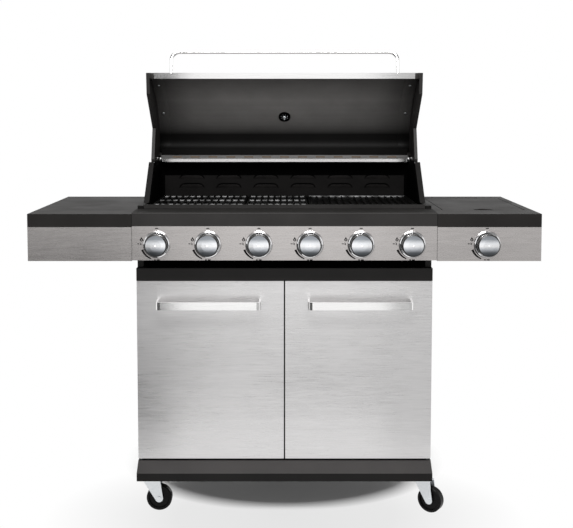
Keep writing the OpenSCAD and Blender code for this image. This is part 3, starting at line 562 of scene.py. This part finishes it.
def facing(at, direction, roll=0.0):
    """Matrix whose local Z looks along direction."""
    turn = Vector(direction).to_track_quat("Z", "Y").to_matrix().to_4x4()
    return Matrix.Translation(at) @ turn @ Matrix.Rotation(roll, 4, "Z")


def on_panel(x, z, lift=0.00015):
    """Drawing plane on the control panel: local X to the right, local Y up, local Z to the viewer."""
    return Matrix.Translation((x, PANEL_Y - lift, z)) @ Matrix.Rotation(math.radians(90), 4, "X")


def polar(r, degrees):
    return (r * math.cos(math.radians(degrees)), r * math.sin(math.radians(degrees)))


# ---- Control panel marks ---------------------------------------------------

def flame_outline(size):
    """Pointed drop, standing on its round end."""
    round_part = [polar(size * 0.42, a) for a in range(-200, 21, 20)]
    return round_part + [(size * 0.16, size * 0.42), (0, size * 0.78), (-size * 0.2, size * 0.36)]


def arc_mark(r, start, end, thick, thin):
    """Arc that tapers from thick to thin."""
    steps = 14
    angles = [start + (end - start) * i / steps for i in range(steps + 1)]
    half = [(thick + (thin - thick) * i / steps) / 2 for i in range(steps + 1)]
    outer = [polar(r + h, a) for a, h in zip(angles, half)]
    inner = [polar(r - h, a) for a, h in zip(angles, half)]
    return outer + inner[::-1]


def panel_marks():
    """Printed marks beside each knob: flame, spark, plain off and low bars, and a tapered level arc."""
    bm = bmesh.new()
    ring = bmesh.new()
    spark = [(-0.0078, 0.0012), (-0.0024, 0.0012), (-0.0024, -0.0012), (-0.0078, -0.0012)]
    bolt = [(-0.0004, 0.0042), (0.0038, 0.0012), (0.0026, 0.0006),
            (0.0042, -0.0042), (-0.001, -0.0008), (0.001, 0.0)]
    for x in KNOB_X:
        centre = on_panel(x, KNOB_Z)
        add_outline(bm, arc_mark(0.0434, 200, 248, 0.0064, 0.003), centre, MARK_THICKNESS)
        flame_at = polar(0.0448, 163)
        flame_place = centre @ Matrix.Translation((*flame_at, 0))
        add_outline(bm, flame_outline(0.0106), flame_place, MARK_THICKNESS)
        inner = centre @ Matrix.Translation((flame_at[0], flame_at[1] - 0.0004, 0.0001))
        add_outline(ring, flame_outline(0.004), inner, 0.0001)
        spark_place = centre @ Matrix.Translation((*polar(0.0465, 178), 0))
        add_outline(bm, spark, spark_place, MARK_THICKNESS)
        add_outline(bm, bolt, spark_place, MARK_THICKNESS)
        for bar_x, bar_z, half in ((0, 0.0452, 0.0042), (-0.0055, -0.0436, 0.0022), (0.0035, -0.0436, 0.004)):
            bar = [(-half, -0.0013), (half, -0.0013), (half, 0.0013), (-half, 0.0013)]
            add_outline(bm, bar, centre @ Matrix.Translation((bar_x, bar_z, 0)), MARK_THICKNESS)
    build("panel_marks", bm, INK_AND_SHADE, "cabinet", smooth=False)
    build("panel_mark_centres", ring, PANEL_STEEL, "cabinet", smooth=False)


# ---- Hood details ----------------------------------------------------------

@functools.cache
def hood_profile(inset):
    """Points of the closed hood line with their headings, moved inwards by inset."""
    heading = math.radians(LIP_HEADING)
    x = LIP[0] + inset * math.sin(heading)
    z = LIP[1] - inset * math.cos(heading)
    points = [(x, z, heading)]
    for radius, turn, steps in HOOD_ARCS:
        r = radius - inset
        start = heading
        x0, z0 = x, z
        for i in range(1, steps + 1):
            a = start - math.radians(turn) * i / steps
            x = x0 + r * (math.sin(start) - math.sin(a))
            z = z0 + r * (math.cos(a) - math.cos(start))
            points.append((x, z, a))
        heading = start - math.radians(turn)
    return points


def opened(depth, z):
    """Row-frame y and z of a closed-hood point once the hood is open."""
    dy, dz = depth - HINGE[0], z - HINGE[1]
    c, s = math.cos(HOOD_ANGLE), math.sin(HOOD_ANGLE)
    return HINGE[0] + dy * c + dz * s - ORIGIN_DEPTH, HINGE[1] - dy * s + dz * c


def hood_point(x, inset, index):
    """Point of the open hood at x, inset from its outer skin, at one place along the hood line."""
    depth, z, _ = hood_profile(inset)[index]
    y, z = opened(depth, z)
    return Vector((x, y, z))


def hood_side_strips():
    """Flanges of the hood ends that overlap the liner along both sides."""
    outer, inner = 0.4148, 0.3785
    near, far = FLANGE_INSET, FLANGE_INSET - 0.0014
    for name, side in (("hood_strip_left", -1), ("hood_strip_right", 1)):
        bm = bmesh.new()
        rows = []
        for i in range(1, 43):
            corners = ((outer, near), (inner, near), (inner, far), (outer, far))
            rows.append([bm.verts.new(hood_point(side * x, inset, i)) for x, inset in corners])
        for a, b in zip(rows, rows[1:]):
            for k in range(4):
                m = (k + 1) % 4
                bm.faces.new((a[k], a[m], b[m], b[k]))
        bm.faces.new(rows[0])
        bm.faces.new(list(reversed(rows[-1])))
        build(name, bm, HOOD_GREY, "hood", edge=0.0003)


def hood_box(bm, x_range, depth_range, z_range):
    """Box given in closed-hood depth and height, drawn on the open hood."""
    corners = []
    for x in x_range:
        for depth, z in ((depth_range[0], z_range[0]), (depth_range[1], z_range[0]),
                         (depth_range[1], z_range[1]), (depth_range[0], z_range[1])):
            y, height = opened(depth, z)
            corners.append(bm.verts.new((x, y, height)))
    bm.faces.new(corners[:4])
    bm.faces.new(corners[7:3:-1])
    for k in range(4):
        m = (k + 1) % 4
        bm.faces.new((corners[k], corners[k + 4], corners[m + 4], corners[m]))


def hood_lip_ends():
    """Stepped black blocks that close the ends of the lip."""
    for name, side in (("hood_lip_end_left", -1), ("hood_lip_end_right", 1)):
        bm = bmesh.new()
        depths = (LIP[0] + 0.0012, LIP[0] + 0.019)
        # The outer step stays above the firebox sides when the hood is shut
        hood_box(bm, sorted((side * 0.4006, side * 0.4085)), depths, (LIP[1] + 0.0004, 0.9092))
        hood_box(bm, sorted((side * 0.4086, side * 0.4248)), depths, (0.9084, 0.9125))
        build(name, bm, STRIP_GREY, "hood", edge=0.0012)


def hem_slots():
    """Row of vent slots along the hem at the foot of the hood, drawn as flat dark marks: painted shade of the
    openings.
    """
    back = hood_profile(0)[-1][0]
    bm = bmesh.new()
    pitch, length, count = 0.058, 0.029, 13
    for i in range(count):
        x = (i - (count - 1) / 2) * pitch
        hood_box(bm, (x - length / 2, x + length / 2), (back - 0.0085, back - 0.004), (1.0257, 1.0259))
    build("hood_hem_slots", bm, SLOT_SHADOW_BROWN, "hood", smooth=False)


def screw(name, at, direction, body, r=0.0042):
    """Pan-head screw with a cross recess drawn as a black cross: painted shade."""
    place = facing(at, direction)
    bm = bmesh.new()
    add_lathe(bm, [(r, 0), (r, 0.0006), (r * 0.86, 0.0015), (r * 0.5, 0.0021), (0, 0.0023)], place, 24)
    build(name, bm, ZINC, body)
    bm = bmesh.new()
    arm, half = r * 0.6, r * 0.13
    for turn in (0.4, 0.4 + math.pi / 2):
        cross = place @ Matrix.Rotation(turn, 4, "Z") @ Matrix.Translation((0, 0, 0.0012))
        add_outline(bm, [(-arm, -half), (arm, -half), (arm, half), (-arm, half)], cross, 0.00125)
    build(name + "_recess_shade", bm, INK_AND_SHADE, body, smooth=False)


def hood_screws():
    """Two screws down each flange of the hood."""
    across = 0.397
    for side, label in ((-1, "left"), (1, "right")):
        for number, index in ((1, 7), (2, 17)):
            at = hood_point(side * across, FLANGE_INSET, index)
            behind = hood_point(side * across, 0.002, index)
            screw(f"hood_screw_{label}_{number}", at, at - behind, "hood")


# ---- Thermometer ---------------------------------------------------------

def thermometer():
    """Dial outside the hood, and its nut, washer and stem inside."""
    index = HOOD_ARCS[0][2]
    centre = hood_point(0, 0, index)
    outward = (centre - hood_point(0, 0.01, index)).normalized()
    # Local Z points out of the hood and local Y up the closed hood
    up = hood_point(0, 0, index) - hood_point(0, 0, index - 1)
    across = up.cross(outward).normalized()
    up = outward.cross(across).normalized()
    place = Matrix((across, up, outward)).transposed().to_4x4()
    place.translation = centre

    bm = bmesh.new()
    add_lathe(bm, [(0, 0.0004), (0.0327, 0.0004), (0.0328, 0.0055), (0.0315, 0.0085), (0.0298, 0.0098),
                   (0.0282, 0.0094), (0.0275, 0.0078), (0, 0.0078)], place, 64)
    bezel = build("thermometer_bezel", bm, CHROME, "hood")

    bm = bmesh.new()
    add_lathe(bm, [(0.0274, 0.0079), (0, 0.0079)], place, 64)
    face = build("thermometer_face", bm, DIAL_WHITE, "hood")

    bm = bmesh.new()
    for i in range(25):
        angle = math.radians(225 - 270 * i / 24)
        major = i % 4 == 0
        inner, outer, half = (0.0185 if major else 0.0212), 0.0238, (0.0005 if major else 0.00025)
        tick = place @ Matrix.Rotation(angle, 4, "Z")
        add_outline(bm, [(inner, -half), (outer, -half), (outer, half), (inner, half)],
                    tick @ Matrix.Translation((0, 0, 0.008)), 0.0002)
    on_dial = place @ Matrix.Translation((0, 0, 0.008))
    for start, end in ((224, 136), (134, 46)):
        add_outline(bm, arc_mark(0.0255, start, end, 0.0011, 0.0011), on_dial, 0.0002)
    ticks = build("thermometer_ticks", bm, INK_AND_SHADE, "hood", smooth=False)

    bm = bmesh.new()
    add_outline(bm, arc_mark(0.0255, 44, -44, 0.0011, 0.0011), on_dial, 0.0002)
    needle = place @ Matrix.Rotation(math.radians(225), 4, "Z") @ Matrix.Translation((0, 0, 0.0083))
    add_outline(bm, [(-0.006, -0.0009), (0.021, -0.0003), (0.021, 0.0003), (-0.006, 0.0009)], needle, 0.0003)
    pointer = build("thermometer_needle", bm, RED_INK, "hood", smooth=False)

    bm = bmesh.new()
    add_lathe(bm, [(0.0026, 0.0082), (0.0026, 0.0088), (0.0018, 0.0093), (0, 0.0094)], place, 24)
    # Inside: washer with ribs, hexagon nut and stem
    for i in range(8):
        rib = place @ Matrix.Rotation(math.radians(45 * i + 20), 4, "Z") @ Matrix.Translation((0, 0, -0.0125))
        outline = [(0.0085, -0.0007), (0.0125, -0.0004), (0.0125, 0.0004), (0.0085, 0.0007)]
        add_outline(bm, outline, rib, 0.0012)
    add_lathe(bm, [(0, -0.0162), (0.0052, -0.0162), (0.0062, -0.015), (0.0062, -0.0118)], place, 6)
    add_lathe(bm, [(0, -0.026), (0.0014, -0.0255), (0.0018, -0.0245), (0.0018, -0.016)], place, 16)
    hub = build("thermometer_nut", bm, ZINC, "hood", edge=0.0002)

    bm = bmesh.new()
    add_lathe(bm, [(0, -0.0114), (0.0165, -0.0114), (0.0192, -0.0104), (0.0195, -0.008), (0, -0.008)],
              place, 48)
    washer = build("thermometer_washer", bm, SOOT_AND_SHADE, "hood")
    for piece in (bezel, face, ticks, pointer, hub, washer):
        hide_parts("hood_thermometer")


# ---- Firebox ---------------------------------------------------------------

def louvre_arch(u, low, height):
    """Height of the arched top edge of a louvre at u = -1..1."""
    return low + height * (1 - abs(u) ** 7)


def louvre_flap(bm, x0, low):
    """Pressed flap: flush with the panel at the foot and sides, standing proud along its arched top."""
    across, up = 24, 6
    proud, thickness, height = 0.0055, 0.0009, 0.01
    fronts, backs = [], []
    for i in range(across + 1):
        u = -1 + 2 * i / across
        front, back = [], []
        for j in range(up + 1):
            v = j / up
            z = low + louvre_arch(u, 0, height) * v
            lift = proud * v * math.sqrt(max(0.0, 1 - u ** 6))
            y = PLATE_Y - 0.0004 - lift
            front.append(bm.verts.new((x0 + u * LOUVRE_HALF, y, z)))
            back.append(bm.verts.new((x0 + u * LOUVRE_HALF, y + thickness, z)))
        fronts.append(front)
        backs.append(back)
    for i in range(across):
        for j in range(up):
            bm.faces.new((fronts[i][j], fronts[i + 1][j], fronts[i + 1][j + 1], fronts[i][j + 1]))
            bm.faces.new((backs[i][j], backs[i][j + 1], backs[i + 1][j + 1], backs[i + 1][j]))
        bm.faces.new((fronts[i][up], fronts[i + 1][up], backs[i + 1][up], backs[i][up]))


def draw_slit_shade(bm, x0, low):
    """Dark sheet round the flap: painted shade of the opening."""
    steps = 24
    top = [(x0 + LOUVRE_HALF * 1.06 * u, louvre_arch(u, low, 0.015))
           for u in (-1 + 2 * i / steps for i in range(steps + 1))]
    place = Matrix.Translation((0, PLATE_Y - 0.0001, 0)) @ Matrix.Rotation(math.radians(90), 4, "X")
    foot = [(x0 + LOUVRE_HALF * 0.98 * side, low - 0.0002) for side in (-1, 1)]
    add_outline(bm, top[::-1] + foot, place, 0.0002)


def firebox_back():
    """Rear panel with two rows of arched louvres, a ledge, and the wall above it in painted shadow."""
    bm = bmesh.new()
    top = REAR_PANEL_TOP_Z
    add_block(bm, (-FIREBOX_HALF, PLATE_Y, FIREBOX_FLOOR_Z), (FIREBOX_HALF, PLATE_Y + 0.002, top))
    add_block(bm, (-FIREBOX_HALF, PLATE_Y, top - 0.0015), (FIREBOX_HALF, PLATE_Y + 0.006, top))
    plate = build("firebox_rear_panel", bm, PANEL_BLACK, "cabinet", edge=0.0005, smooth=False)
    bm = bmesh.new()
    slit_shade_mesh = bmesh.new()
    for row in LOUVRE_ROWS:
        for i in range(6):
            x = (i - 2.5) * LOUVRE_PITCH
            foot = row - 0.0052
            louvre_flap(bm, x, foot)
            draw_slit_shade(slit_shade_mesh, x, foot)
    # The flaps take a lighter copy of the panel's enamel: painted light on their raised faces
    flaps = build("firebox_louvres", bm, FLAP_LIT_BLACK, "cabinet")
    slit_shade_piece = build("firebox_louvre_slit_shade", slit_shade_mesh, SOOT_AND_SHADE, "cabinet", smooth=False)
    # The strip of wall above the panel is near black: painted shadow of the hood's rear edge
    bm = bmesh.new()
    add_block(bm, (-FIREBOX_HALF, PLATE_Y + 0.004, FIREBOX_FLOOR_Z),
              (FIREBOX_HALF, PLATE_Y + 0.006, REAR_WALL_TOP_Z))
    wall = build("firebox_rear_wall", bm, SOOT_AND_SHADE, "cabinet", smooth=False)
    paint_faces(wall, FIRE_BLACK, lambda c, n: n.y > 0.9)
    for piece in (plate, flaps, slit_shade_piece, wall):
        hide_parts("firebox_back")


def firebox_corners():
    """Folded seams between the rear panel and the side walls."""
    foot, top, outer = FIREBOX_FLOOR_Z + 0.0001, REAR_WALL_TOP_Z - 0.0002, FIREBOX_HALF + 0.0009
    for name, side in (("firebox_seam_left", -1), ("firebox_seam_right", 1)):
        bm = bmesh.new()
        left, right = sorted((side * 0.3955, side * outer))
        add_block(bm, (left, PLATE_Y - 0.0016, foot), (right, PLATE_Y - 0.0004, top))
        left, right = sorted((side * 0.4036, side * outer))
        add_block(bm, (left, PLATE_Y - 0.013, foot), (right, PLATE_Y - 0.0005, top))
        build(name, bm, SOOT_AND_SHADE, "cabinet", smooth=False)


# ---- All added pieces ------------------------------------------------------

panel_marks()
hood_side_strips()
hood_lip_ends()
hem_slots()
hood_screws()
thermometer()
firebox_back()
firebox_corners()


# ---- Studio ---------------------------------------------------------------

def area_light(name, at, target, size, power):
    """Soft box that points at target."""
    data = bpy.data.lights.new(name, "AREA")
    data.shape = "RECTANGLE"
    data.size, data.size_y = size
    data.energy = power
    obj = bpy.data.objects.new(name, data)
    obj.location = at
    obj.rotation_euler = (Vector(target) - Vector(at)).to_track_quat("-Z", "Y").to_euler()
    collection.objects.link(obj)


def sheet(name, corners, material):
    """One flat face that belongs to the studio."""
    mesh = bpy.data.meshes.new(name)
    mesh.from_pydata(corners, [], [tuple(range(len(corners)))])
    obj = bpy.data.objects.new(name, mesh)
    obj.data.materials.append(material)
    collection.objects.link(obj)
    return obj


def glow(name, strength):
    """Plain emitter for the cards."""
    mat = bpy.data.materials.new(name)
    mat.use_nodes = True
    tree = mat.node_tree
    tree.nodes.clear()
    light = tree.nodes.new("ShaderNodeEmission")
    light.inputs["Strength"].default_value = strength
    out = tree.nodes.new("ShaderNodeOutputMaterial")
    tree.links.new(light.outputs["Emission"], out.inputs["Surface"])
    return mat


def floor_reach(s, centre_y, radii):
    """Elliptical distance of a floor point from (0, centre_y): 1 at the given radii."""
    coords = s.add("ShaderNodeTexCoord")
    mapping = s.add("ShaderNodeMapping")
    mapping.inputs["Location"].default_value = (0, -centre_y / radii[1], 0)
    mapping.inputs["Scale"].default_value = (1 / radii[0], 1 / radii[1], 0)
    s.link(coords.outputs["Object"], mapping.inputs["Vector"])
    length = s.add("ShaderNodeVectorMath", operation="LENGTH")
    s.link(mapping.outputs["Vector"], length.inputs[0])
    return length.outputs["Value"]


def floor():
    """Pale floor that fades to the white of the backdrop away from the grill."""
    s = Shader("floor_white", Roughness=0.9, Specular_IOR_Level=0.1)
    s.feed("Base Color", s.ramp(s.noise(0.8, (1, 1, 1), 2.0), (0.3, grey(0.87)), (0.7, grey(0.9))))
    # Real floor with its shadow close to the grill, backdrop beyond it
    fade = s.ramp(floor_reach(s, 0.3, (1.14, 1.0)), (0.405, grey(0.0)), (0.475, grey(1.0)))
    # Painted shadow: the backdrop's white is dimmed to grey just in front of the casters
    front_reach = floor_reach(s, -0.2, (0.7, 0.5))
    painted_shadow_level = s.ramp(front_reach, (0.0, grey(0.77)), (0.45, grey(0.8)), (1.0, grey(1.0)))
    white = s.add("ShaderNodeEmission")
    s.link(painted_shadow_level, white.inputs["Strength"])
    mix = s.add("ShaderNodeMixShader")
    s.link(fade, mix.inputs["Fac"])
    s.link(s.bsdf.outputs["BSDF"], mix.inputs[1])
    s.link(white.outputs["Emission"], mix.inputs[2])
    s.link(mix.outputs["Shader"], s.tree.nodes["Material Output"].inputs["Surface"])
    half = 40
    z = min(0.0, cad_low.z)
    sheet("floor", [(-half, -half, z), (half, -half, z), (half, half, z), (-half, half, z)], s.mat)


def reflection_card(name, outline, lift, strength):
    """Grey card just above the floor that only reflections see."""
    card = sheet(name, [(x, y, lift) for x, y in outline], glow(name + "_grey", strength))
    card.visible_camera = False
    card.visible_diffuse = False
    card.visible_shadow = False
    card.visible_transmission = False


def world():
    """White backdrop up to a low height, a darker band above it, and a bright ceiling."""
    made = bpy.data.worlds.new("studio")
    made.use_nodes = True
    tree = made.node_tree
    coords = tree.nodes.new("ShaderNodeTexCoord")
    split = tree.nodes.new("ShaderNodeSeparateXYZ")
    ramp = tree.nodes.new("ShaderNodeValToRGB")
    background = tree.nodes["Background"]
    tree.links.new(coords.outputs["Generated"], split.inputs["Vector"])
    tree.links.new(split.outputs["Z"], ramp.inputs["Fac"])
    tree.links.new(ramp.outputs["Color"], background.inputs["Color"])
    stops = [(0.26, 1.0), (0.36, 0.3), (0.68, 0.3), (0.84, 2.3)]
    while len(ramp.color_ramp.elements) < len(stops):
        ramp.color_ramp.elements.new(0.5)
    for element, (at, value) in zip(ramp.color_ramp.elements, stops):
        element.position = at
        element.color = (value, value, value, 1.0)
    background.inputs["Strength"].default_value = 1.0
    scene.world = made


CAMERA_DISTANCE = 2.7806
CAMERA_HEIGHT = 1.1926
CAMERA_PITCH = 4.22
CAMERA_LENS = 62.9
CAMERA_SHIFT = (0.0035, -0.147)


def camera():
    """Looks at the front from 2.8 m away and 1.2 m up, tipped a little down."""
    data = bpy.data.cameras.new("camera")
    data.lens = CAMERA_LENS
    data.sensor_width = 36
    data.shift_x, data.shift_y = CAMERA_SHIFT
    obj = bpy.data.objects.new("camera", data)
    obj.location = (0, PANEL_Y - CAMERA_DISTANCE, CAMERA_HEIGHT)
    obj.rotation_euler = (math.radians(90 - CAMERA_PITCH), 0, 0)
    collection.objects.link(obj)
    scene.camera = obj


scene.view_settings.view_transform = "Standard"
camera()
world()
floor()
# The side cards lie in front of the grill, one to each side, and widen away from it
reflection_card("front_card", [(-1.2, -1.2), (1.2, -1.2), (1.4, -2.3), (-1.4, -2.3)], 0.004, 0.28)
reflection_card("left_card", [(-0.4, -0.7), (-1.25, -8.2), (-7, -8.2), (-5, -0.7)], 0.006, 0.08)
reflection_card("right_card", [(0.35, -0.7), (1.14, -8.2), (7, -8.2), (5, -0.7)], 0.006, 0.5)
area_light("hood_light", (0, -1.7, 2.3), (0, 0.2, 1.15), (1.2, 0.6), 60)
